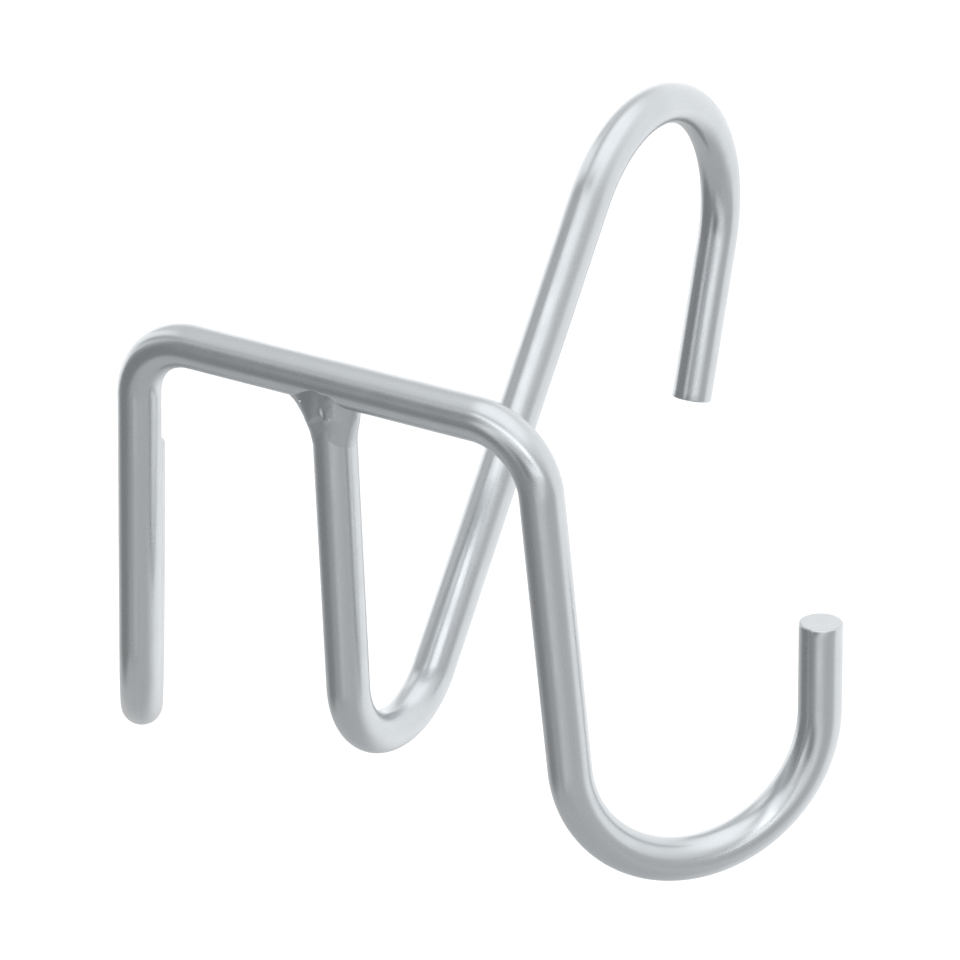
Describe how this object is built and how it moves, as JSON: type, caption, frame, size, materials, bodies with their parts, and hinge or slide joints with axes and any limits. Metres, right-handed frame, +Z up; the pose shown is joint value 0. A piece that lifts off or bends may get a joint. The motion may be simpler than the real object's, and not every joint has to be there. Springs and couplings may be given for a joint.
{
  "type": "ladder bucket hook",
  "caption": "Bent steel rod hanger: a large hook goes over a ladder rung, and an upward side hook at each end of its crossbar carries a bucket.",
  "frame": {"origin": "centre of the rung hook's bend, the axis of the largest round rung that the hook takes", "axes": "+Z up, with the strut vertical; +X along the crossbar; +Y from the crossbar towards the rung hook"},
  "size_m": [0.1896, 0.175, 0.1288],
  "materials": {
    "rod": "bright zinc plated",
    "weld": "zinc plated over a hand-laid weld"
  },
  "bodies": {
    "root": {"crossbar_rod": "rod", "rung_hook_rod": "rod", "weld_bead": "weld"}
  },
  "joints": []
}
